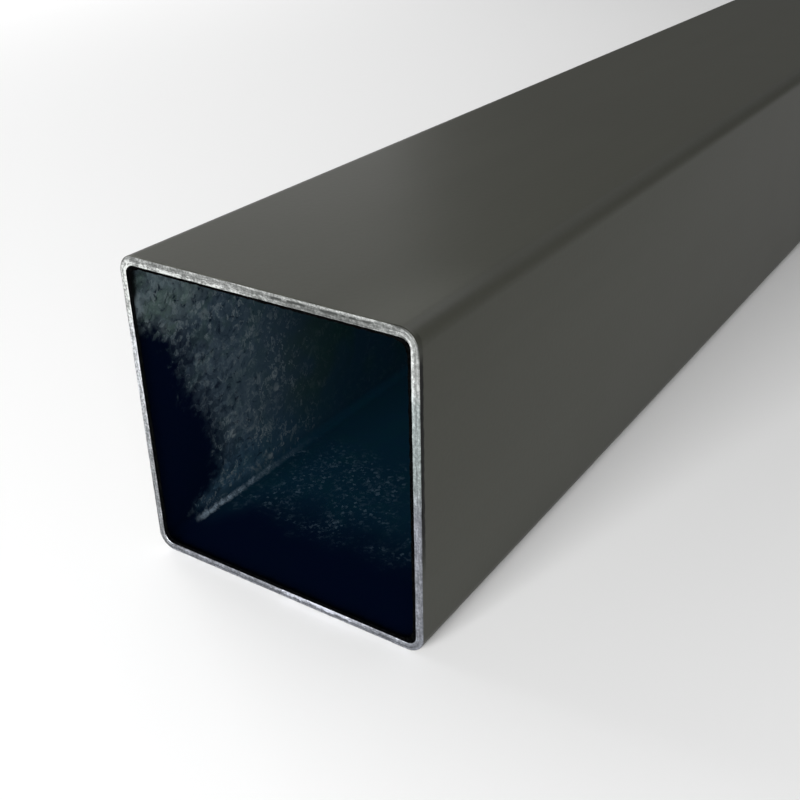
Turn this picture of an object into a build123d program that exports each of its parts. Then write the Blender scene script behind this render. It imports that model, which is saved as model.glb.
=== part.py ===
from build123d import *
import os

# A square hollow section: one piece of steel, cold formed from strip into a square with
# rounded corners, sawn square at both ends and deburred. Nothing is fastened to it.
#
# It lies along X with one flat on the ground. The origin is the middle of that underside,
# and Z is up. Millimetres.

# Driving sizes
LENGTH = 1000.0  # between the two sawn ends
OUTSIDE_WIDTH = 80.0  # across the flats, the same both ways
WALL = 2.0  # thickness of the strip, the same on all four sides
INSIDE_BEND_RADIUS = 2.4  # of the four corners, on the hollow side
EDGE_BREAK = 0.3  # each leg of the 45 degree deburr on the sawn edges

# Sizes that follow: bending keeps the wall even, so both arcs of a corner share a centre
OUTSIDE_BEND_RADIUS = INSIDE_BEND_RADIUS + WALL
HOLLOW_WIDTH = OUTSIDE_WIDTH - 2 * WALL


def cross_section():
    """The wall as it shows on a sawn end: two rounded squares about one centre."""
    with BuildSketch(Plane.YZ) as section:
        with Locations((0, OUTSIDE_WIDTH / 2)):
            RectangleRounded(OUTSIDE_WIDTH, OUTSIDE_WIDTH, OUTSIDE_BEND_RADIUS)
            RectangleRounded(
                HOLLOW_WIDTH, HOLLOW_WIDTH, INSIDE_BEND_RADIUS, mode=Mode.SUBTRACT
            )
    return section.sketch


def square_tube():
    """The section run to its length, then both ends deburred round the outside and the bore."""
    with BuildPart() as tube:
        extrude(cross_section(), amount=LENGTH / 2, both=True)
        edges_along_x = tube.edges().group_by(Axis.X)
        sawn_edges = edges_along_x[0] + edges_along_x[-1]
        chamfer(sawn_edges, length=EDGE_BREAK)
    return tube.part


os.makedirs("parts", exist_ok=True)
export_step(square_tube(), "parts/square_tube.step")
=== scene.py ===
from math import radians

import bmesh
import bpy
from bpy.props import FloatProperty, FloatVectorProperty, IntProperty, PointerProperty
from mathutils import Matrix, Vector


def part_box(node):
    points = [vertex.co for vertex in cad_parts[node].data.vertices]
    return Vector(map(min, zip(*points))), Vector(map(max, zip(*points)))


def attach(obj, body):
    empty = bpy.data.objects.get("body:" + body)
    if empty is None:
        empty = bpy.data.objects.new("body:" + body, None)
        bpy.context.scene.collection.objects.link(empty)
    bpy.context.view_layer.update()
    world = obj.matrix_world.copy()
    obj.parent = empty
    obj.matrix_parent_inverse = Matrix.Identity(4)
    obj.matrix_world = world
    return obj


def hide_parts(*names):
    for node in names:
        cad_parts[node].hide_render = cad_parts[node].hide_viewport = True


bl_info = {
    "name": "Square Steel Tube",
    "version": (1, 0, 0),
    "blender": (4, 5, 0),
    "location": "3D View > Sidebar > Steel Tube",
    "description": "Models a sawn length of coated square steel tube and the studio it lies in",
    "category": "Add Mesh",
}

# A length of square steel tube, coated outside, bare at its two sawn ends and scaly inside.
# It lies along X with one flat on the floor. Metres, with Z up.

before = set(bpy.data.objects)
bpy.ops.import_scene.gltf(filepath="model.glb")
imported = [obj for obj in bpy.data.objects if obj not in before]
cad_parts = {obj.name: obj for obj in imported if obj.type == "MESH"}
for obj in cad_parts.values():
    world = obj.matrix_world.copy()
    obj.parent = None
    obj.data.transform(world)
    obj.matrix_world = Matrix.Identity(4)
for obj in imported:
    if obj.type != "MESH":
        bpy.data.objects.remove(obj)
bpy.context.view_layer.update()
TUBE_NODE = "square_tube"
TUBE_BODY = "root"
TUBE_LOW, TUBE_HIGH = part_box(TUBE_NODE)
TUBE_MIDDLE = (TUBE_LOW + TUBE_HIGH) / 2
TUBE_SIZE = TUBE_HIGH - TUBE_LOW
HALF_LENGTH = TUBE_SIZE.x / 2
HALF_WIDTH = TUBE_SIZE.z / 2

FIRST_RING = 0.0005  # how far behind the filed edge the two support rings lie
SECOND_RING = 0.0025
SMALL = 0.00001  # two places nearer than this are the same place
SMOOTH_ANGLE = radians(35)
FLOOR_GAP = 0.0002  # keeps the floor's plane off the tube's underside
LAP_WIDTH = 0.0002  # how far the coat laps over the outer edge of the top wall

# Tints, each as what it multiplies the red, the green and the blue by
# Painted sheen on the coat's upper bends
SHEEN_TINT = (1.24, 1.24, 1.32)
# Painted sheen on the top by the cuts
SHEEN_TINT_BY_THE_CUT = (1.32, 1.32, 1.36)
BLUISH_STEEL = (0.97, 0.98, 1.12)
GREENISH_STEEL = (0.92, 1.0, 1.02)
GREENISH_SCALE = (0.85, 1.12, 0.97)
BROWNISH_SCALE = (1.2, 0.7, 0.5)
STAINED_SCALE = (1.3, 1.05, 0.6)
GREENISH_BLOOM = (0.93, 1.03, 0.82)


# ---------------------------------------------------------------- what a user may change


class TubeShape(bpy.types.PropertyGroup):
    """Sizes of the section, and how finely and unevenly its ends are worked."""

    wall: FloatProperty(
        name="Wall",
        description="Thickness of the steel, the same on all four sides",
        default=0.002,
        min=0.0005,
        precision=5,
        unit="LENGTH",
    )
    inside_bend_radius: FloatProperty(
        name="Inside Bend Radius",
        description="Radius of the four corners on the hollow side",
        default=0.0024,
        min=0.0005,
        precision=5,
        unit="LENGTH",
    )
    edge_break: FloatProperty(
        name="Edge Break",
        description="How far the file took the sawn edges back, along each face",
        default=0.0003,
        min=0.0001,
        precision=5,
        unit="LENGTH",
    )
    file_wander: FloatProperty(
        name="File Wander",
        description="How much deeper the file bit in some places than in others",
        default=0.00012,
        min=0.0,
        precision=5,
        unit="LENGTH",
    )
    saw_mark_depth: FloatProperty(
        name="Saw Mark Depth",
        description="Depth of the marks that the saw left on the cut",
        default=0.00004,
        min=0.0,
        precision=5,
        unit="LENGTH",
    )
    burr_height: FloatProperty(
        name="Burr Height",
        description="How far the saw's burr stands into the bore, where it stands furthest",
        default=0.001,
        min=0.00005,
        precision=5,
        unit="LENGTH",
    )
    lip_drop: FloatProperty(
        name="Lip Drop",
        description="How far the saw dragged the top wall's inner edge down with it",
        default=0.00045,
        min=0.0,
        precision=5,
        unit="LENGTH",
    )
    bend_segments: IntProperty(
        name="Bend Segments",
        description="Faces round each of the four corners",
        default=16,
        min=4,
        max=32,
    )


class TubeFinish(bpy.types.PropertyGroup):
    """Colours of the coat, the bare steel and the scale."""

    coat_colour: FloatVectorProperty(
        name="Coat",
        description="Colour of the satin coat on the outside",
        default=(0.0525, 0.0535, 0.0445),
        min=0.0,
        max=1.0,
        subtype="COLOR",
    )
    sawn_colour: FloatVectorProperty(
        name="Sawn Steel",
        description="Colour of the dullest bare steel on the cuts",
        default=(0.047, 0.05, 0.048),
        min=0.0,
        max=1.0,
        subtype="COLOR",
    )
    filed_colour: FloatVectorProperty(
        name="Filed Steel",
        description="Colour of the steel where the file rubbed it bright",
        default=(0.7, 0.72, 0.705),
        min=0.0,
        max=1.0,
        subtype="COLOR",
    )
    # Near-black painted shade on the burr and just behind it
    burr_shade_colour: FloatVectorProperty(
        name="Soot",
        description="Colour of the burnt burr round each mouth",
        default=(0.0012, 0.0013, 0.0014),
        min=0.0,
        max=1.0,
        precision=5,
        subtype="COLOR",
    )
    oily_colour: FloatVectorProperty(
        name="Oily Scale",
        description="Colour of the scale under rolling oil, as just inside the mouth",
        default=(0.0004, 0.0022, 0.0105),
        min=0.0,
        max=1.0,
        subtype="COLOR",
    )
    blued_colour: FloatVectorProperty(
        name="Blued Scale",
        description="Colour of the scale where the oil is thin, as deep in the bore",
        default=(0.0019, 0.0132, 0.0258),
        min=0.0,
        max=1.0,
        subtype="COLOR",
    )
    bloom_colour: FloatVectorProperty(
        name="Bloom",
        description="Colour of the pale bloom high on the walls, where the scale is dry",
        default=(0.097, 0.135, 0.15),
        min=0.0,
        max=1.0,
        subtype="COLOR",
    )
    thin_bloom_colour: FloatVectorProperty(
        name="Thin Bloom",
        description="Colour of the bloom lower down, and of the specks on the bottom wall",
        default=(0.05, 0.076, 0.1),
        min=0.0,
        max=1.0,
        subtype="COLOR",
    )
    flake_colour: FloatVectorProperty(
        name="Flakes",
        description="Colour of the loose flakes in the bloom and of the dry crumbs at the lip",
        default=(0.12, 0.15, 0.165),
        min=0.0,
        max=1.0,
        subtype="COLOR",
    )
    # Colour of the painted highlight along the two lower bends
    bend_highlight_colour: FloatVectorProperty(
        name="Dust",
        description="Colour of the dust along the two lower bends",
        default=(0.145, 0.19, 0.235),
        min=0.0,
        max=1.0,
        subtype="COLOR",
    )


class StudioLook(bpy.types.PropertyGroup):
    """The floor, the surroundings and the camera."""

    floor_colour: FloatVectorProperty(
        name="Floor",
        description="Colour of the plain floor",
        default=(0.89, 0.89, 0.89),
        min=0.0,
        max=1.0,
        subtype="COLOR",
    )
    surround_colour: FloatVectorProperty(
        name="Surroundings",
        description="Colour and brightness of the studio beyond the floor",
        default=(0.148, 0.148, 0.148),
        min=0.0,
        max=1.0,
        subtype="COLOR",
    )
    lens: FloatProperty(
        name="Lens",
        description="Focal length of the camera",
        default=49.14,
        min=10.0,
        subtype="DISTANCE_CAMERA",
    )


# ---------------------------------------------------------------- small helpers


def deselect_everything():
    """Leaves nothing selected, in object mode."""
    if bpy.context.object and bpy.context.object.mode != "OBJECT":
        bpy.ops.object.mode_set(mode="OBJECT")
    bpy.ops.object.select_all(action="DESELECT")


def name_active(name):
    """Gives the object just added its name, and returns it."""
    thing = bpy.context.object
    thing.name = name
    thing.data.name = name
    return thing


def start_editing(kind):
    """Goes into edit mode with nothing selected. kind is VERT, EDGE or FACE."""
    bpy.ops.object.mode_set(mode="EDIT")
    bpy.ops.mesh.select_mode(type=kind)
    bpy.ops.mesh.select_all(action="DESELECT")


def select_edges(tube, wanted):
    """Selects the edges for which wanted says yes to the places of their two ends."""
    bpy.ops.mesh.select_all(action="DESELECT")
    mesh = bmesh.from_edit_mesh(tube.data)
    for edge in mesh.edges:
        if wanted(edge.verts[0].co, edge.verts[1].co):
            edge.select_set(True)
    bmesh.update_edit_mesh(tube.data)


def select_faces(tube, wanted):
    """Selects the faces for which wanted says yes to their middle and normal."""
    bpy.ops.mesh.select_all(action="DESELECT")
    mesh = bmesh.from_edit_mesh(tube.data)
    for face in mesh.faces:
        if wanted(face.calc_center_median(), face.normal):
            face.select_set(True)
    bmesh.update_edit_mesh(tube.data)


def outer_bend_radius(shape):
    """Radius of the four corners on the outside."""
    return shape.inside_bend_radius + shape.wall


def past_end(place):
    """How far a place lies from the plane of the nearer sawn end, towards the middle."""
    return HALF_LENGTH - abs(place.x - TUBE_MIDDLE.x)


def depth_in_wall(place, outer_radius):
    """How deep a place lies under the outside of the rounded square section."""
    straight = HALF_WIDTH - outer_radius
    across = abs(place.y - TUBE_MIDDLE.y) - straight
    up = abs(place.z - TUBE_MIDDLE.z) - straight
    corner = Vector((max(across, 0.0), max(up, 0.0))).length
    return outer_radius - corner - min(max(across, up), 0.0)


# ---------------------------------------------------------------- shader helpers


class ShaderTree:
    """A new material's nodes, added one call at a time."""

    def __init__(self, name):
        self.material = bpy.data.materials.new(name)
        self.material.use_nodes = True
        self.nodes = self.material.node_tree.nodes
        self.links = self.material.node_tree.links
        self.shader = self.nodes["Principled BSDF"]

    def add(self, kind, settings=None, inputs=None):
        """A node with its settings, and its inputs given as values or as sockets to join."""
        node = self.nodes.new(kind)
        for name, value in (settings or {}).items():
            setattr(node, name, value)
        for name, value in (inputs or {}).items():
            self.feed(node.inputs[name], value)
        return node

    def feed(self, socket, value):
        """Joins a socket to the input, or sets the input to a plain value."""
        if isinstance(value, bpy.types.NodeSocket):
            self.links.new(value, socket)
        else:
            socket.default_value = value

    def finish(self, inputs):
        """Feeds the shader's named inputs, and returns the material."""
        for name, value in inputs.items():
            self.feed(self.shader.inputs[name], value)
        return self.material

    def place(self):
        """The place on the object, in metres."""
        return self.add("ShaderNodeTexCoord").outputs["Object"]

    def stretched(self, vector, scale):
        """The place, with each of its three directions scaled."""
        node = self.add("ShaderNodeMapping", {}, {"Vector": vector, "Scale": scale})
        return node.outputs["Vector"]

    def noise(self, vector, scale, detail=2.0, roughness=0.5, distortion=0.0):
        """A cloudy pattern of 0 to 1, finer the larger its scale."""
        inputs = {
            "Vector": vector,
            "Scale": scale,
            "Detail": detail,
            "Roughness": roughness,
            "Distortion": distortion,
        }
        return self.add("ShaderNodeTexNoise", {}, inputs).outputs["Fac"]

    def strayed(self, vector, scale, reach):
        """The place, moved by up to the reach, so that what is laid there is ragged."""
        inputs = {"Vector": vector, "Scale": scale, "Detail": 2.0}
        stray = self.add("ShaderNodeTexNoise", {}, inputs).outputs["Color"]
        inputs = {0: stray, 1: (reach, reach, reach), 2: vector}
        node = self.add("ShaderNodeVectorMath", {"operation": "MULTIPLY_ADD"}, inputs)
        return node.outputs["Vector"]

    def cells(self, vector, scale):
        """Angular cells, each with its own number from 0 to 1."""
        node = self.add("ShaderNodeTexVoronoi", {}, {"Vector": vector, "Scale": scale})
        return self.split(node.outputs["Color"])["X"]

    def crumbs(self, vector, scale, size, share):
        """Lone crumbs, of up to a size in cells, in a share of the cells of a given scale."""
        node = self.add("ShaderNodeTexVoronoi", {}, {"Vector": vector, "Scale": scale})
        number = self.split(node.outputs["Color"])["X"]
        picked = self.fade(number, 1.0 - share, 1.0 - share * 0.6)
        lump = self.fade(node.outputs["Distance"], size * 0.5, size, 1.0, 0.0)
        return self.times(picked, lump)

    def math(self, operation, a, b=0.0, clamp=False):
        """The result of an operation on one value or two."""
        node = self.add("ShaderNodeMath", {"operation": operation, "use_clamp": clamp})
        self.feed(node.inputs[0], a)
        self.feed(node.inputs[1], b)
        return node.outputs[0]

    def times(self, first, *others):
        """The product of some values."""
        for other in others:
            first = self.math("MULTIPLY", first, other)
        return first

    def total(self, terms):
        """The sum of some values, each times its share."""
        result = 0.0
        for value, share in terms:
            result = self.math("ADD", result, self.times(value, share))
        return result

    def fade(self, value, start, stop, before=0.0, after=1.0):
        """One number up to the start, another past the stop, and a smooth change between."""
        inputs = {
            "Value": value,
            "From Min": start,
            "From Max": stop,
            "To Min": before,
            "To Max": after,
        }
        node = self.add("ShaderNodeMapRange", {"interpolation_type": "SMOOTHSTEP"}, inputs)
        return node.outputs["Result"]

    def mix(self, share, first, second, blend="MIX"):
        """The first colour where the share is 0, the second where it is 1."""
        node = self.add("ShaderNodeMix", {"data_type": "RGBA", "blend_type": blend})
        self.feed(node.inputs["Factor"], share)
        self.feed(node.inputs["A"], first)
        self.feed(node.inputs["B"], second)
        return node.outputs["Result"]

    def tinted(self, share, colour, tint):
        """The colour, multiplied by a tint where the share is 1."""
        return self.mix(share, colour, rgba(tint), "MULTIPLY")

    def split(self, vector):
        """The X, Y and Z of a place or a colour."""
        return self.add("ShaderNodeSeparateXYZ", {}, {"Vector": vector}).outputs

    def bump(self, height, distance, strength):
        """The surface's normal, tilted as if the pattern stood up by the distance."""
        inputs = {"Height": height, "Distance": distance, "Strength": strength}
        return self.add("ShaderNodeBump", {}, inputs).outputs["Normal"]

    def from_end(self, x):
        """How far the place lies from the nearer sawn end, in metres."""
        return self.math("SUBTRACT", HALF_LENGTH, self.math("ABSOLUTE", x))

    def length_of(self, a, b):
        """The length of a slope that goes a one way and b the other."""
        squares = [self.times(side, side) for side in (a, b)]
        return self.math("SQRT", self.math("ADD", *squares))

    def from_lower_bend(self, y, z, wall):
        """How far the place lies from a line along the nearer lower bend, where the painted
        highlight lies.
        """
        in_from_wall = 0.0006
        across = self.math("SUBTRACT", self.math("ABSOLUTE", y), HALF_WIDTH - wall - in_from_wall)
        return self.length_of(across, self.math("SUBTRACT", z, wall))

    def depth_in_wall(self, y, z, outer_radius):
        """How deep the place lies under the outside of the rounded square section."""
        straight = HALF_WIDTH - outer_radius
        from_middle = self.math("ABSOLUTE", self.math("SUBTRACT", z, HALF_WIDTH))
        across = self.math("SUBTRACT", self.math("ABSOLUTE", y), straight)
        up = self.math("SUBTRACT", from_middle, straight)
        corner = self.length_of(self.math("MAXIMUM", across, 0.0), self.math("MAXIMUM", up, 0.0))
        inside = self.math("MINIMUM", self.math("MAXIMUM", across, up), 0.0)
        return self.math("SUBTRACT", outer_radius, self.math("ADD", corner, inside))

    def near(self, place, spot, reach):
        """1 at a spot on the section's outline, given by its Y and Z, and 0 beyond its reach."""
        flat = self.stretched(place, (0.0, 1.0, 1.0))
        inputs = {0: flat, 1: (0.0, spot[0], spot[1])}
        node = self.add("ShaderNodeVectorMath", {"operation": "DISTANCE"}, inputs)
        return self.fade(node.outputs["Value"], reach * 0.2, reach, 1.0, 0.0)

    def wandering(self, length, pattern, span):
        """The length, made up to half the span longer or shorter by a pattern of 0 to 1."""
        offset = self.times(self.math("SUBTRACT", pattern, 0.5), span)
        return self.math("ADD", length, offset)


def rgba(colour, share=1.0):
    """A colour for a socket, made darker or lighter by a share."""
    return (colour[0] * share, colour[1] * share, colour[2] * share, 1.0)


# ---------------------------------------------------------------- the coat


def satin_coat(finish):
    """A baked-on grey coat with a faint orange peel, a painted sheen on its upper bends and by the
    cuts, and a thin dark line beside the saw cut.
    """
    coat = finish.coat_colour
    tree = ShaderTree("satin_coat")
    place = tree.place()
    parts = tree.split(place)
    cloudy = tree.noise(place, scale=14.0, detail=3.0)
    rolled = tree.noise(tree.stretched(place, (3.0, 160.0, 160.0)), scale=1.0)
    grain = tree.noise(place, scale=900.0)
    peel = tree.noise(place, scale=700.0, detail=1.0)

    colour = tree.mix(tree.fade(cloudy, 0.35, 0.65), rgba(coat, 0.97), rgba(coat, 1.03))
    colour = tree.mix(tree.fade(rolled, 0.3, 0.7, 0.0, 0.5), colour, rgba(coat, 0.94))
    colour = tree.mix(tree.fade(grain, 0.35, 0.75, 0.0, 0.3), colour, rgba(coat, 1.12))
    # Painted sheen: the upper bends made paler
    colour = tree.tinted(painted_sheen_on_bends(tree, parts), colour, SHEEN_TINT)
    # Painted sheen: the top by the cuts on the -Y side made paler
    colour = tree.tinted(painted_sheen_by_the_cut(tree, parts), colour, SHEEN_TINT_BY_THE_CUT)
    colour = tree.mix(dark_line_by_cut(tree, place, parts), colour, rgba(coat, 0.01))
    return tree.finish(
        {
            "Base Color": colour,
            "Roughness": tree.fade(cloudy, 0.3, 0.7, 0.31, 0.35),
            "Specular IOR Level": 0.07,
            "Normal": tree.bump(peel, distance=0.00003, strength=0.5),
        }
    )


def painted_sheen_on_bends(tree, parts):
    """The upper part of the two upper bends, made a little paler as a painted sheen."""
    outward = tree.fade(tree.math("ABSOLUTE", parts["Y"]), 0.0352, 0.0372)
    return tree.times(outward, tree.fade(parts["Z"], 0.078, 0.0797))


def painted_sheen_by_the_cut(tree, parts):
    """The top by the cuts on the -Y side, down to the first third of the bend, made paler too as a
    painted sheen.
    """
    by_the_cut = tree.fade(tree.from_end(parts["X"]), 0.01, 0.04, 1.0, 0.0)
    sideways = tree.fade(parts["Y"], -0.034, -0.015, 1.0, 0.0)
    on_top = tree.fade(parts["Z"], 0.0788, 0.0797)
    return tree.times(by_the_cut, sideways, on_top)


def dark_line_by_cut(tree, place, parts):
    """A ragged dark line on the coat beside the cut, on the upper two thirds of the side walls."""
    ragged = tree.noise(place, scale=500.0, detail=3.0)
    from_end = tree.wandering(tree.from_end(parts["X"]), ragged, 0.0008)
    by_the_cut = tree.fade(from_end, 0.0013, 0.0018, 1.0, 0.0)
    on_side = tree.fade(tree.math("ABSOLUTE", parts["Y"]), 0.0385, 0.0392, 0.12, 1.0)
    low = tree.fade(parts["Z"], 0.018, 0.034)
    high = tree.fade(parts["Z"], 0.0715, 0.0755, 1.0, 0.3)
    return tree.times(by_the_cut, tree.times(on_side, tree.times(low, high)))


# ---------------------------------------------------------------- the cut


class CutPatterns:
    """The places and patterns that the looks of a cut share."""

    def __init__(self, tree, outer_radius):
        self.place = tree.place()
        parts = tree.split(self.place)
        self.side = parts["Y"]
        self.height = parts["Z"]
        self.on_top = tree.fade(self.height, 0.0755, 0.078)
        self.on_front = tree.fade(self.side, -0.0378, -0.036, 1.0, 0.0)
        depth = tree.depth_in_wall(self.side, self.height, outer_radius)
        # On the top wall, depth is counted from where the lapped coat ends
        self.depth = tree.math("SUBTRACT", depth, tree.times(self.on_top, LAP_WIDTH))
        self.blotches = tree.noise(self.place, scale=420.0, detail=3.0, roughness=0.6)
        drawn_out = self.along(tree, 3200.0, 260.0)
        self.streaks = tree.noise(drawn_out, scale=1.0, detail=3.0, roughness=0.6)

    def along(self, tree, across_scale, along_scale):
        """A pattern's place on the cut, with one scale across the wall and another along it."""
        inputs = {
            "X": tree.times(self.depth, across_scale),
            "Y": tree.times(self.side, along_scale),
            "Z": tree.times(self.height, along_scale),
        }
        return tree.add("ShaderNodeCombineXYZ", {}, inputs).outputs["Vector"]


def sawn_steel(finish, shape):
    """Bare steel on the cuts: dull and streaky, smoother down the -Y side, and bright in places,
    partly as painted highlights, with painted shade round the outside of the upper bends.
    """
    tree = ShaderTree("sawn_steel")
    cut = CutPatterns(tree, outer_bend_radius(shape))
    bright = tree.total(
        (
            (cut_ground(tree, cut), 1.0),
            (burr_line(tree, cut), 1.0),
            (middle_groove(tree, cut), -0.17),
            # Painted highlight along the top wall's outer edge, painted shade round its bends
            (outer_edge_light_and_shade(tree, cut), 0.13),
        )
    )
    bright = tree.times(bright, saw_marks(tree, cut))
    uneven = tree.fade(cut.blotches, 0.38, 0.62, 0.78, 1.22)
    bright = tree.math("MULTIPLY", bright, uneven, clamp=True)

    colour = tree.mix(bright, rgba(finish.sawn_colour), rgba(finish.filed_colour))
    colour = tarnished(tree, cut, colour)
    colour = tree.mix(lapped_coat(tree, cut), colour, rgba(finish.coat_colour, 1.6))
    # Painted shade round the outside of the upper bend at -Y
    colour = tree.mix(painted_shade_on_bend_edge(tree, cut), colour, rgba(finish.coat_colour, 0.15))
    return tree.finish(
        {
            "Base Color": colour,
            "Metallic": 1.0,
            "Roughness": tree.fade(bright, 0.1, 0.6, 0.55, 0.38),
            "Normal": tree.bump(cut.streaks, distance=0.00005, strength=0.6),
        }
    )


def cut_ground(tree, cut):
    """How bright the cut itself is: brightest up the +Y wall, a little brighter up the -Y one, else
    dull.
    """
    back = tree.times(tree.fade(cut.side, 0.0355, 0.0375), tree.fade(cut.height, 0.018, 0.052))
    back = tree.times(back, tree.fade(cut.height, 0.061, 0.069, 1.0, 0.62))
    front = tree.fade(cut.side, -0.0375, -0.0355, 1.0, 0.0)
    front = tree.times(front, tree.fade(cut.height, 0.034, 0.052))
    bottom = tree.fade(cut.height, 0.002, 0.005, 1.0, 0.0)
    brightened = tree.total(((back, 0.46), (front, 0.14), (bottom, 0.015)))
    dull = 0.2
    return tree.math("ADD", dull, brightened)


def burr_line(tree, cut):
    """The ragged line along the bore where the burr was rubbed off, bright in a few stretches:
    rubbed steel with painted highlights where the burr catches the light.
    """
    # The bright stretches at these given spots are painted highlights
    rubbed = tree.total(
        (
            (tree.near(cut.place, spot=(0.038, 0.078), reach=0.046), 0.32),
            (tree.near(cut.place, spot=(0.016, 0.079), reach=0.032), 0.22),
            (tree.near(cut.place, spot=(-0.038, 0.07), reach=0.016), 0.27),
            (tree.near(cut.place, spot=(-0.038, 0.0735), reach=0.007), 0.3),
            (tree.near(cut.place, spot=(-0.009, 0.002), reach=0.019), 0.75),
        )
    )
    rubbed = tree.math("ADD", rubbed, tree.fade(cut.height, 0.06, 0.07, 0.06, 0.0))
    rubbed = tree.times(rubbed, tree.fade(cut.blotches, 0.36, 0.52, 0.55, 1.15))
    chunks = tree.noise(cut.along(tree, 900.0, 520.0), scale=1.0, detail=3.0, roughness=0.6)
    line = tree.fade(tree.wandering(cut.depth, chunks, 0.0016), 0.0011, 0.00145)
    return tree.times(line, rubbed)


def middle_groove(tree, cut):
    """A dark groove along the middle of the cut, where the saw dragged: on all walls but +Y."""
    middle = 0.00085
    winding = tree.wandering(cut.depth, cut.blotches, 0.0007)
    broad = tree.fade(winding, 0.0006, middle)
    broad = tree.times(broad, tree.fade(cut.depth, 0.0012, 0.0016, 1.0, 0.45))
    off_line = tree.math("ABSOLUTE", tree.math("SUBTRACT", winding, middle))
    line = tree.fade(off_line, 0.0001, 0.0004, 1.0, 0.0)
    dashes = tree.fade(tree.noise(cut.place, scale=240.0), 0.42, 0.55)
    on_top = tree.total(((broad, 0.6), (tree.times(line, dashes), 1.1)))
    on_top = tree.times(on_top, tree.near(cut.place, spot=(-0.016, 0.078), reach=0.024))
    on_bottom = tree.times(line, tree.fade(cut.height, 0.002, 0.004, 1.0, 0.0))
    on_front = tree.times(line, cut.on_front, tree.fade(cut.height, 0.034, 0.05))
    return tree.total(((on_top, 1.0), (on_bottom, 0.7), (on_front, 0.6)))


def outer_edge_light_and_shade(tree, cut):
    """The outer edge of the cut: filed steel with a painted highlight along the top wall, and
    painted shade round its bends.
    """
    at_edge = tree.fade(cut.depth, 0.0002, 0.0005, 1.0, 0.0)
    off_middle = tree.math("ABSOLUTE", cut.side)
    flat = tree.fade(cut.height, 0.077, 0.079)
    flat = tree.times(flat, tree.fade(off_middle, 0.03, 0.036, 1.0, 0.0))
    bend = tree.times(tree.fade(cut.height, 0.07, 0.075), tree.fade(off_middle, 0.033, 0.0365))
    return tree.times(at_edge, tree.total(((flat, 1.0), (bend, -1.0))))


def saw_marks(tree, cut):
    """How far the saw's marks lighten and darken the cut: less on the -Y wall, which is smeared."""
    speckle = tree.noise(cut.place, scale=1500.0, detail=3.0, roughness=0.65)
    speckled = tree.fade(speckle, 0.36, 0.64, 0.55, 1.5)
    marks = tree.times(speckled, tree.fade(cut.streaks, 0.36, 0.64, 0.55, 1.5))
    smeared = tree.fade(cut.side, -0.0378, -0.0366, 0.35, 0.0)
    marks = tree.times(marks, tree.math("SUBTRACT", 1.0, smeared))
    return tree.math("ADD", smeared, marks)


def tarnished(tree, cut, colour):
    """Tints the cut below its top: bluish, less so at +Y, and greenish high on the -Y wall."""
    lower_at_front = 0.022
    level = tree.math("ADD", cut.height, tree.times(cut.on_front, lower_at_front))
    bluish = tree.fade(level, 0.058, 0.068, 1.0, 0.0)
    bluish = tree.times(bluish, tree.fade(cut.side, 0.036, 0.0378, 1.0, 0.5))
    colour = tree.tinted(bluish, colour, BLUISH_STEEL)
    greenish = tree.times(cut.on_front, tree.fade(level, 0.058, 0.068))
    greenish = tree.times(greenish, tree.fade(cut.height, 0.062, 0.068, 1.0, 0.0))
    return tree.tinted(greenish, colour, GREENISH_STEEL)


def lapped_coat(tree, cut):
    """Where the coat laps over the outer edge of the top wall."""
    return tree.times(cut.on_top, tree.fade(cut.depth, -0.0001, 0.00002, 1.0, 0.0))


def painted_shade_on_bend_edge(tree, cut):
    """A smudge of painted shade on the cut, in a dark coat colour, round the outside of the upper
    bend at -Y.
    """
    on_bend = tree.fade(cut.side, -0.0355, -0.032, 1.0, 0.0)
    on_bend = tree.times(on_bend, tree.fade(cut.height, 0.073, 0.0755))
    return tree.times(on_bend, tree.fade(cut.depth, 0.0, 0.0005, 0.7, 0.0))


def burr_shade(finish):
    """Dead black on the burr: painted shade along the mouth's inner edge."""
    tree = ShaderTree("burr_shade")
    specks = tree.noise(tree.place(), scale=1500.0, detail=3.0, roughness=0.65)
    thick = rgba(finish.burr_shade_colour, 0.4)
    colour = tree.mix(tree.fade(specks, 0.4, 0.7), thick, rgba(finish.burr_shade_colour, 1.6))
    return tree.finish({"Base Color": colour, "Roughness": 0.9, "Specular IOR Level": 0.0})


# ---------------------------------------------------------------- the bore


class BorePatterns:
    """The places and patterns that the looks of the bore share."""

    def __init__(self, tree, wall):
        self.place = tree.place()
        parts = tree.split(self.place)
        self.inward = tree.from_end(parts["X"])
        self.height = parts["Z"]
        self.from_bend = tree.from_lower_bend(parts["Y"], self.height, wall)
        self.patches = tree.noise(self.place, 75.0, detail=3.0, roughness=0.55, distortion=0.5)
        self.clumps = tree.noise(self.place, 190.0, detail=4.0, roughness=0.7, distortion=0.6)
        self.lumps = tree.noise(self.place, 420.0, detail=5.0, roughness=0.66, distortion=0.8)
        self.ragged = tree.strayed(self.place, scale=1500.0, reach=0.0009)
        self.bits = tree.cells(self.ragged, scale=640.0)
        self.chips = self.curled_chips(tree)

    def curled_chips(self, tree):
        """Curled chips of scale, a millimetre or two long, most lying up and down the wall."""
        upright = tree.stretched(self.place, (1.0, 1.0, 0.6))
        curls = tree.noise(upright, scale=650.0, roughness=0.6, distortion=0.8)
        off_line = tree.math("ABSOLUTE", tree.math("SUBTRACT", curls, 0.5))
        on_line = tree.fade(off_line, 0.0, 0.07, 1.0, 0.0)
        return tree.times(on_line, tree.fade(self.bits, 0.45, 0.85))


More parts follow.
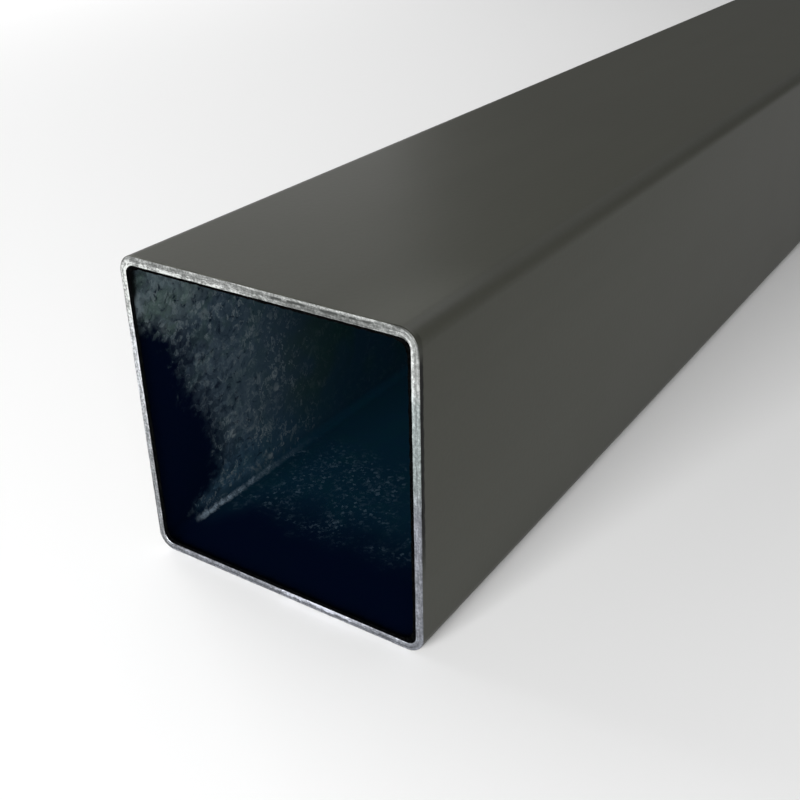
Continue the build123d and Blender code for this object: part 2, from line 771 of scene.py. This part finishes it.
def mill_scale(finish, shape):
    """Blue-black scale in the bore, oily at the mouth and low down, with a pale bloom above that
    fades deeper in as painted shade, a painted highlight along the lower bends and painted shade
    just behind the burr.
    """
    tree = ShaderTree("mill_scale")
    bore = BorePatterns(tree, shape.wall)
    bloom = oil_free(tree, bore)
    near_mouth = tree.wandering(bore.inward, bore.clumps, 0.03)
    gritty = tree.times(bloom, tree.fade(near_mouth, 0.026, 0.056, 1.0, 0.05))
    pits = tree.times(tree.fade(bore.lumps, 0.34, 0.43, 0.85, 0.0), gritty)

    colour = bare_scale(tree, bore, finish)
    share = bloom_share(tree, bore, bloom, gritty)
    colour = tree.mix(share, colour, bloom_tint(tree, bore, finish))
    colour = tree.mix(pits, colour, rgba(finish.oily_colour))
    colour = tree.mix(loose_flakes(tree, bore, bloom), colour, rgba(finish.flake_colour))
    # Painted highlight along the two lower bends
    colour = tree.mix(painted_bend_highlight(tree, bore), colour, rgba(finish.bend_highlight_colour))
    colour = tree.mix(low_specks(tree, bore), colour, rgba(finish.thin_bloom_colour, 1.6))
    colour = tree.mix(dry_lip(tree, bore), colour, rgba(finish.flake_colour, 1.9))
    # Painted shade just behind the burr
    colour = tree.mix(burr_shade_line(tree, bore), colour, rgba(finish.burr_shade_colour))
    return tree.finish(
        {
            "Base Color": colour,
            "Roughness": tree.fade(bloom, 0.0, 1.0, 0.5, 0.7),
            "Specular IOR Level": 0.03,
            "Normal": tree.bump(bore.lumps, distance=0.00004, strength=0.5),
        }
    )


def bare_scale(tree, bore, finish):
    """The scale without its bloom: darkest at the mouth, then bluer, and stained deep inside."""
    near_bend = tree.fade(bore.from_bend, 0.0, 0.012, 0.009, 0.0)
    thinning = tree.wandering(tree.math("ADD", bore.inward, near_bend), bore.patches, 0.012)
    thinned = tree.fade(thinning, 0.016, 0.042)
    colour = tree.mix(thinned, rgba(finish.oily_colour), rgba(finish.blued_colour))
    clumped = tree.fade(bore.clumps, 0.45, 0.62, 0.0, 0.7)
    colour = tree.tinted(clumped, colour, GREENISH_SCALE)
    deep = tree.fade(bore.inward, 0.044, 0.07)
    deep = tree.times(deep, tree.fade(bore.height, 0.03, 0.046, 0.0, 0.8))
    colour = tree.tinted(deep, colour, BROWNISH_SCALE)
    stains = tree.noise(bore.place, scale=52.0, distortion=0.6)
    stained = tree.fade(stains, 0.42, 0.6)
    stained = tree.times(stained, tree.fade(bore.inward, 0.034, 0.056))
    stained = tree.times(stained, tree.fade(bore.height, 0.004, 0.022, 0.15, 1.0))
    return tree.tinted(stained, colour, STAINED_SCALE)


def oil_free(tree, bore):
    """How dry the scale is: high on the walls at once, lower down only further in."""
    upper_depth = tree.fade(bore.height, 0.066, 0.05, -0.003, 0.0125)
    lower_depth = tree.fade(bore.height, 0.044, 0.02, 0.0, 0.009)
    near_bend = tree.fade(bore.from_bend, 0.004, 0.01, 0.0095, 0.0)
    oily_depth = tree.math("ADD", upper_depth, lower_depth)
    edge = tree.math("SUBTRACT", tree.math("ADD", bore.inward, near_bend), oily_depth)
    edge = tree.wandering(edge, bore.patches, 0.008)
    edge = tree.wandering(edge, bore.lumps, 0.013)
    edge = tree.wandering(edge, bore.bits, 0.004)
    above_bottom = tree.fade(bore.height, 0.0022, 0.006)
    return tree.times(tree.fade(edge, -0.003, 0.0095), above_bottom)


def bloom_share(tree, bore, bloom, gritty):
    """How thick the bloom lies: mottled near the mouth, and smoother and fainter further in, a
    painted falloff of the light from the mouth.
    """
    mottle = tree.fade(bore.clumps, 0.38, 0.62, 0.7, 1.0)
    mottle = tree.times(mottle, tree.fade(bore.lumps, 0.36, 0.62, 0.7, 1.0))
    mottle = tree.times(mottle, tree.fade(bore.bits, 0.0, 1.0, 0.72, 1.0))
    even = (0.65, 0.65, 0.65)
    mottle = tree.mix(gritty, rgba(even), mottle)
    # Painted shade: the bloom fades deeper in, as the light from the mouth falls off
    thins = tree.wandering(bore.inward, bore.clumps, 0.016)
    thins = tree.fade(thins, 0.028, 0.06, 1.0, 0.27)
    ends = tree.fade(bore.inward, 0.05, 0.085, 1.0, 0.15)
    return tree.times(tree.times(mottle, tree.times(thins, ends)), bloom)


def bloom_tint(tree, bore, finish):
    """The bloom's colour: palest high on the walls, bluer low down, and greenish in patches."""
    wavy = tree.wandering(bore.height, bore.patches, 0.01)
    low = tree.fade(wavy, 0.008, 0.022, 0.5, 0.0)
    tint = tree.mix(low, rgba(finish.thin_bloom_colour), rgba(finish.blued_colour, 3.8))
    level = tree.math("SUBTRACT", wavy, tree.times(bore.inward, 0.6))
    tint = tree.mix(tree.fade(level, 0.044, 0.055), tint, rgba(finish.bloom_colour))
    green = tree.noise(bore.place, 160.0, detail=3.0, roughness=0.6, distortion=0.5)
    green = tree.fade(green, 0.46, 0.62)
    green = tree.times(green, tree.fade(bore.height, 0.03, 0.06, 0.35, 0.8))
    return tree.tinted(green, tint, GREENISH_BLOOM)


def loose_flakes(tree, bore, bloom):
    """Chips and clumps of loose scale in the bloom, and a few large bright flakes."""
    chips = tree.times(bore.chips, tree.fade(bore.patches, 0.42, 0.6, 0.3, 0.85))
    small = tree.math("MAXIMUM", chips, tree.fade(bore.clumps, 0.57, 0.68, 0.0, 0.6))
    large = tree.crumbs(bore.ragged, scale=210.0, size=0.34, share=0.16)
    large = tree.times(large, tree.fade(bore.bits, 0.1, 0.6, 0.3, 1.0))
    # Fewer and fainter flakes deeper in: partly painted shade, as the light from the mouth falls
    # off
    sparser = tree.wandering(bore.inward, bore.clumps, 0.034)
    sparser = tree.fade(sparser, 0.028, 0.074, 1.0, 0.08)
    return tree.times(tree.math("MAXIMUM", small, large), tree.times(bloom, sparser))


def painted_bend_highlight(tree, bore):
    """A painted highlight along the two lower bends, which starts short of the mouth and thins
    inwards.
    """
    fine = tree.noise(bore.place, scale=1800.0, roughness=0.6)
    across = tree.wandering(bore.from_bend, bore.lumps, 0.0022)
    band = tree.fade(tree.wandering(across, fine, 0.0016), 0.0005, 0.0014, 1.0, 0.0)
    grainy = tree.fade(bore.bits, 0.0, 1.0, 0.45, 1.2)
    grainy = tree.times(grainy, tree.fade(fine, 0.36, 0.62, 0.4, 1.15))
    begins = tree.fade(tree.wandering(bore.inward, bore.lumps, 0.004), 0.0095, 0.0135)
    thins = tree.fade(bore.inward, 0.018, 0.036, 1.0, 0.4)
    ends = tree.fade(bore.inward, 0.034, 0.064, 1.0, 0.0)
    length = tree.times(begins, tree.times(thins, ends))
    return tree.times(tree.times(band, grainy), length)


def low_specks(tree, bore):
    """Dim shards and chips on the bottom wall, past the oily mouth."""
    begins = tree.fade(tree.wandering(bore.inward, bore.patches, 0.016), 0.019, 0.03)
    region = tree.times(begins, tree.fade(bore.inward, 0.05, 0.068, 1.0, 0.0))
    on_bottom = tree.fade(bore.height, 0.0021, 0.003, 0.3, 0.0)
    shards = tree.fade(tree.cells(bore.ragged, scale=1250.0), 0.86, 0.96)
    shards = tree.math("MAXIMUM", shards, tree.times(bore.chips, 0.6))
    gathered = tree.times(shards, tree.fade(bore.patches, 0.4, 0.56, 0.15, 1.0))
    return tree.times(tree.times(gathered, on_bottom), region)


def dry_lip(tree, bore):
    """The palest, driest scale, in crumbs at the lip just below the two upper bends."""
    level = tree.wandering(bore.height, bore.lumps, 0.006)
    band = tree.fade(level, 0.062, 0.0655)
    band = tree.times(band, tree.fade(level, 0.0675, 0.0705, 1.0, 0.0))
    near_mouth = tree.wandering(bore.inward, bore.lumps, 0.006)
    near_mouth = tree.fade(near_mouth, 0.0015, 0.0048, 0.85, 0.0)
    crumbly = tree.times(near_mouth, tree.fade(bore.bits, 0.1, 0.8, 0.45, 1.0))
    return tree.times(band, crumbly)


def burr_shade_line(tree, bore):
    """Painted shade just behind the burr, widest along the top wall and in its two bends."""
    patchy = tree.noise(bore.place, scale=600.0, detail=4.0, roughness=0.7)
    level = tree.wandering(bore.height, patchy, 0.006)
    width = tree.fade(level, 0.0665, 0.0715, 0.0005, 0.0018)
    past = tree.math("SUBTRACT", tree.wandering(bore.inward, patchy, 0.0022), width)
    return tree.fade(past, -0.0001, 0.0011, 0.92, 0.0)


# ---------------------------------------------------------------- the tube


def add_bar(shape):
    """A square bar as long and wide as the tube, with its four long edges rounded."""
    deselect_everything()
    bpy.ops.mesh.primitive_cube_add(size=1.0, location=TUBE_MIDDLE)
    tube = name_active("tube")
    tube.scale = TUBE_SIZE
    bpy.ops.object.transform_apply(location=True, rotation=True, scale=True)
    start_editing("EDGE")
    select_edges(tube, lambda a, b: abs(a.x - b.x) > SMALL)
    bpy.ops.mesh.bevel(
        offset=outer_bend_radius(shape),
        offset_type="OFFSET",
        segments=shape.bend_segments,
        profile=0.5,
        affect="EDGES",
    )
    return tube


def hollow_out(tube, shape):
    """Insets both ends by the wall, and bridges the insets into one bore."""
    bpy.ops.mesh.select_mode(type="FACE")
    select_faces(tube, lambda middle, normal: abs(normal.x) > 0.9)
    bpy.ops.mesh.inset(thickness=shape.wall, use_even_offset=True)
    bpy.ops.mesh.bridge_edge_loops()
    bpy.ops.mesh.select_all(action="SELECT")
    bpy.ops.mesh.normals_make_consistent(inside=False)


def break_sawn_edges(tube, shape):
    """Rounds the outer and inner edge of both cuts."""
    outer_radius = outer_bend_radius(shape)

    def on_sawn_edge(a, b):
        depths = [depth_in_wall(place, outer_radius) for place in (a, b)]
        at_end = max(past_end(a), past_end(b)) < SMALL
        return at_end and abs(depths[0] - depths[1]) < shape.wall / 2

    bpy.ops.mesh.select_mode(type="EDGE")
    select_edges(tube, on_sawn_edge)
    bpy.ops.mesh.bevel(
        offset=shape.edge_break,
        offset_type="OFFSET",
        segments=3,
        profile=0.5,
        affect="EDGES",
    )


def add_support_rings(shape):
    """Rings just behind each cut, so that the long flats stay flat up to them."""
    for behind in (FIRST_RING, SECOND_RING):
        for side in (-1, 1):
            x = side * (HALF_LENGTH - shape.edge_break - behind)
            bpy.ops.mesh.select_all(action="SELECT")
            bpy.ops.mesh.bisect(
                plane_co=(TUBE_MIDDLE.x + x, 0.0, 0.0), plane_no=(1.0, 0.0, 0.0)
            )


def divide_finely(tube, shape):
    """Divides the cut across the wall and all round, finely enough to carry the saw's marks."""
    rows_across_cut = 6
    cuts_round_first = 13
    cuts_round_again = 11
    outer_radius = outer_bend_radius(shape)

    def across_cut(a, b):
        at_end = max(past_end(a), past_end(b)) < SMALL
        span = abs(depth_in_wall(a, outer_radius) - depth_in_wall(b, outer_radius))
        return at_end and span > shape.wall / 2

    def longer_round_than(least):
        return lambda a, b: abs(a.x - b.x) < SMALL and (a - b).length > least

    select_edges(tube, across_cut)
    bpy.ops.mesh.subdivide(number_cuts=rows_across_cut - 1)
    select_edges(tube, longer_round_than(HALF_WIDTH))
    bpy.ops.mesh.subdivide(number_cuts=cuts_round_first)
    select_edges(tube, longer_round_than(HALF_WIDTH / cuts_round_first))
    bpy.ops.mesh.subdivide(number_cuts=cuts_round_again)


def raise_burr(tube, shape):
    """The burr that the saw turns up round the mouth, at the foot of the rounded inner edge."""
    outer_radius = outer_bend_radius(shape)

    def at_foot(place):
        behind = abs(past_end(place) - shape.edge_break)
        return behind < SMALL and depth_in_wall(place, outer_radius) > shape.wall - SMALL

    select_edges(tube, lambda a, b: at_foot(a) and at_foot(b))
    narrowed = 1.0 - shape.burr_height / (HALF_WIDTH - shape.wall)
    bpy.ops.transform.resize(value=(1.0, narrowed, narrowed), center_override=TUBE_MIDDLE)


def add_vertex_group(tube, name, weight_at):
    """Groups points under a name, each with the weight, from 0 to 1, that its place is given."""
    group = tube.vertex_groups.new(name=name)
    for vertex in tube.data.vertices:
        weight = float(weight_at(vertex.co))
        if weight > 0.0:
            group.add([vertex.index], weight, "REPLACE")


def push_down(tube, group_name, drop):
    """Moves a group's points straight down, by the drop times their weight."""
    bpy.ops.object.modifier_add(type="DISPLACE")
    modifier = tube.modifiers[-1]
    modifier.direction = "Z"
    modifier.mid_level = 0.0
    modifier.strength = -drop
    modifier.vertex_group = group_name
    bpy.ops.object.modifier_apply(modifier=modifier.name)


def press_in(tube, group_name, texture_name, grain, depth):
    """Presses a group's points into the steel by up to a depth, in a pattern of a given grain."""
    texture = bpy.data.textures.new(texture_name, "CLOUDS")
    texture.noise_scale = grain
    texture.noise_depth = 2
    bpy.ops.object.modifier_add(type="DISPLACE")
    modifier = tube.modifiers[-1]
    modifier.texture = texture
    modifier.texture_coords = "LOCAL"
    modifier.direction = "NORMAL"
    modifier.mid_level = 0.0
    modifier.strength = -depth
    modifier.vertex_group = group_name
    bpy.ops.object.modifier_apply(modifier=modifier.name)


def roughen_ends(tube, shape):
    """Marks the cuts, bites into their edges, makes the burr ragged and drags the top lip down."""
    outer_radius = outer_bend_radius(shape)

    def lip_weight(place):
        at_foot = shape.edge_break / 3 < past_end(place) < shape.edge_break + SMALL
        if not at_foot or depth_in_wall(place, outer_radius) < shape.wall / 2:
            return 0.0
        above_bend = place.z - (TUBE_HIGH.z - outer_radius)
        return min(max(above_bend / shape.inside_bend_radius, 0.0), 1.0)

    def on_burr(place):
        return depth_in_wall(place, outer_radius) > shape.wall + SMALL

    add_vertex_group(tube, "cut", lambda place: past_end(place) < SMALL)
    add_vertex_group(tube, "edges", lambda place: past_end(place) < shape.edge_break - SMALL)
    add_vertex_group(tube, "burr", on_burr)
    add_vertex_group(tube, "lip", lip_weight)
    press_in(tube, "edges", "file_bite", grain=0.004, depth=shape.file_wander)
    press_in(tube, "cut", "saw_marks", grain=0.0006, depth=shape.saw_mark_depth)
    press_in(tube, "burr", "burr_gaps", grain=0.0015, depth=shape.burr_height * 0.4)
    push_down(tube, "lip", shape.lip_drop)
    bpy.ops.object.vertex_group_remove(all=True)


def filed_inside(place, shape):
    """How far in the file bared the inner edge: least on the +Y wall and furthest on the -Y one."""
    if place.y > HALF_WIDTH - shape.wall - SMALL:
        return shape.edge_break / 6
    if place.y < shape.wall + shape.edge_break - HALF_WIDTH:
        return shape.edge_break
    return shape.edge_break / 2


def finish_surfaces(tube, shape, finish):
    """Coat outside, steel on the cuts and their filed edges, a burr in near-black painted shade,
    and scale behind it.
    """
    for material in (
        satin_coat(finish),
        sawn_steel(finish, shape),
        burr_shade(finish),
        mill_scale(finish, shape),
    ):
        tube.data.materials.append(material)
    coat, steel, burr_shaded, scale = range(4)
    outer_radius = outer_bend_radius(shape)
    behind_burr = shape.edge_break + FIRST_RING
    for face in tube.data.polygons:
        inward = past_end(face.center)
        if depth_in_wall(face.center, outer_radius) < shape.wall / 2:
            face.material_index = coat if inward > shape.edge_break else steel
        elif inward > behind_burr:
            face.material_index = scale
        else:
            filed = inward < filed_inside(face.center, shape)
            face.material_index = steel if filed else burr_shaded


class MESH_OT_steel_tube(bpy.types.Operator):
    """Model the tube: rounded square bar, bored through, sawn, filed and finished"""

    bl_idname = "mesh.steel_tube"
    bl_label = "Steel Tube"

    def execute(self, context):
        shape = context.scene.tube_shape
        tube = add_bar(shape)
        hollow_out(tube, shape)
        break_sawn_edges(tube, shape)
        add_support_rings(shape)
        divide_finely(tube, shape)
        raise_burr(tube, shape)
        bpy.ops.object.mode_set(mode="OBJECT")
        finish_surfaces(tube, shape, context.scene.tube_finish)
        roughen_ends(tube, shape)
        bpy.ops.object.shade_smooth_by_angle(angle=SMOOTH_ANGLE)
        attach(tube, TUBE_BODY)
        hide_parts(TUBE_NODE)
        return {"FINISHED"}


# ---------------------------------------------------------------- the studio


def add_floor(look):
    """A wide round floor, plain and pale."""
    deselect_everything()
    bpy.ops.mesh.primitive_circle_add(
        vertices=96, radius=12.0, fill_type="NGON", location=(0.0, 0.0, TUBE_LOW.z - FLOOR_GAP)
    )
    bpy.ops.object.transform_apply(location=True, rotation=True, scale=True)
    floor = name_active("floor")
    inputs = {
        "Base Color": rgba(look.floor_colour),
        "Roughness": 0.9,
        "Specular IOR Level": 0.0,
    }
    floor.data.materials.append(ShaderTree("floor").finish(inputs))


def add_surroundings(look):
    """Even light from all round."""
    world = bpy.data.worlds.new("studio")
    world.use_nodes = True
    background = world.node_tree.nodes["Background"]
    background.inputs["Color"].default_value = rgba(look.surround_colour)
    bpy.context.scene.world = world


def add_softbox(name, place, aim, size, power):
    """A soft rectangular lamp at a place, facing the point that it is aimed at."""
    deselect_everything()
    turn = (Vector(aim) - Vector(place)).to_track_quat("-Z", "Y").to_euler()
    bpy.ops.object.light_add(type="AREA", location=place, rotation=turn)
    lamp = bpy.context.object
    lamp.name = name
    lamp.data.shape = "RECTANGLE"
    lamp.data.size, lamp.data.size_y = size
    lamp.data.energy = power
    lamp.visible_camera = False


def add_camera(look):
    """Looks down into the near end of the tube, from its left."""
    place = Vector((-0.65637, -0.14208, 0.16710))
    aim = Vector((-0.47815, -0.02782, 0.05405))
    roll = radians(-0.63)
    deselect_everything()
    bpy.ops.object.camera_add(location=place)
    camera = bpy.context.object
    camera.name = "camera"
    turn = (aim - place).to_track_quat("-Z", "Y").to_matrix() @ Matrix.Rotation(roll, 3, "Z")
    camera.rotation_euler = turn.to_euler()
    camera.data.lens = look.lens
    camera.data.sensor_width = 36.0
    camera.data.clip_start = 0.01
    camera.data.shift_x = -0.03375
    camera.data.shift_y = -0.0125
    bpy.context.scene.camera = camera


class SCENE_OT_tube_studio(bpy.types.Operator):
    """Set up the floor, the lamps, the surroundings and the camera"""

    bl_idname = "scene.tube_studio"
    bl_label = "Tube Studio"

    def execute(self, context):
        look = context.scene.tube_studio
        add_floor(look)
        add_surroundings(look)
        near_end = (-HALF_LENGTH, 0.0, HALF_WIDTH)
        above_end = (-HALF_LENGTH, 0.0, 0.4)
        add_softbox("left_softbox", (-2.2, -0.1, 0.5), near_end, size=(1.0, 0.8), power=71.0)
        add_softbox("front_softbox", (-1.8, -1.0, 0.6), near_end, size=(1.0, 0.8), power=11.6)
        add_softbox("back_softbox", (-0.1, 1.8, 1.0), near_end, size=(1.4, 1.0), power=17.7)
        add_softbox("back_panel", (0.09, 0.985, 0.73), above_end, size=(1.28, 1.3), power=3.8)
        add_camera(look)
        context.scene.view_settings.view_transform = "Standard"
        return {"FINISHED"}


class VIEW3D_PT_steel_tube(bpy.types.Panel):
    """Sizes, finishes and studio of the tube"""

    bl_idname = "VIEW3D_PT_steel_tube"
    bl_label = "Steel Tube"
    bl_space_type = "VIEW_3D"
    bl_region_type = "UI"
    bl_category = "Steel Tube"

    def draw(self, context):
        for settings, operator in (
            (context.scene.tube_shape, None),
            (context.scene.tube_finish, MESH_OT_steel_tube),
            (context.scene.tube_studio, SCENE_OT_tube_studio),
        ):
            for name in settings.__annotations__:
                self.layout.prop(settings, name)
            if operator:
                self.layout.operator(operator.bl_idname)


CLASSES = (
    TubeShape,
    TubeFinish,
    StudioLook,
    MESH_OT_steel_tube,
    SCENE_OT_tube_studio,
    VIEW3D_PT_steel_tube,
)


def register():
    """Makes the classes known to Blender, and gives each scene its settings."""
    for kind in CLASSES:
        bpy.utils.register_class(kind)
    bpy.types.Scene.tube_shape = PointerProperty(type=TubeShape)
    bpy.types.Scene.tube_finish = PointerProperty(type=TubeFinish)
    bpy.types.Scene.tube_studio = PointerProperty(type=StudioLook)


def unregister():
    """Takes the settings and the classes away again."""
    del bpy.types.Scene.tube_studio
    del bpy.types.Scene.tube_finish
    del bpy.types.Scene.tube_shape
    for kind in reversed(CLASSES):
        bpy.utils.unregister_class(kind)


def main():
    """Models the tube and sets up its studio."""
    register()
    bpy.ops.mesh.steel_tube()
    bpy.ops.scene.tube_studio()


if __name__ == "__main__":
    main()
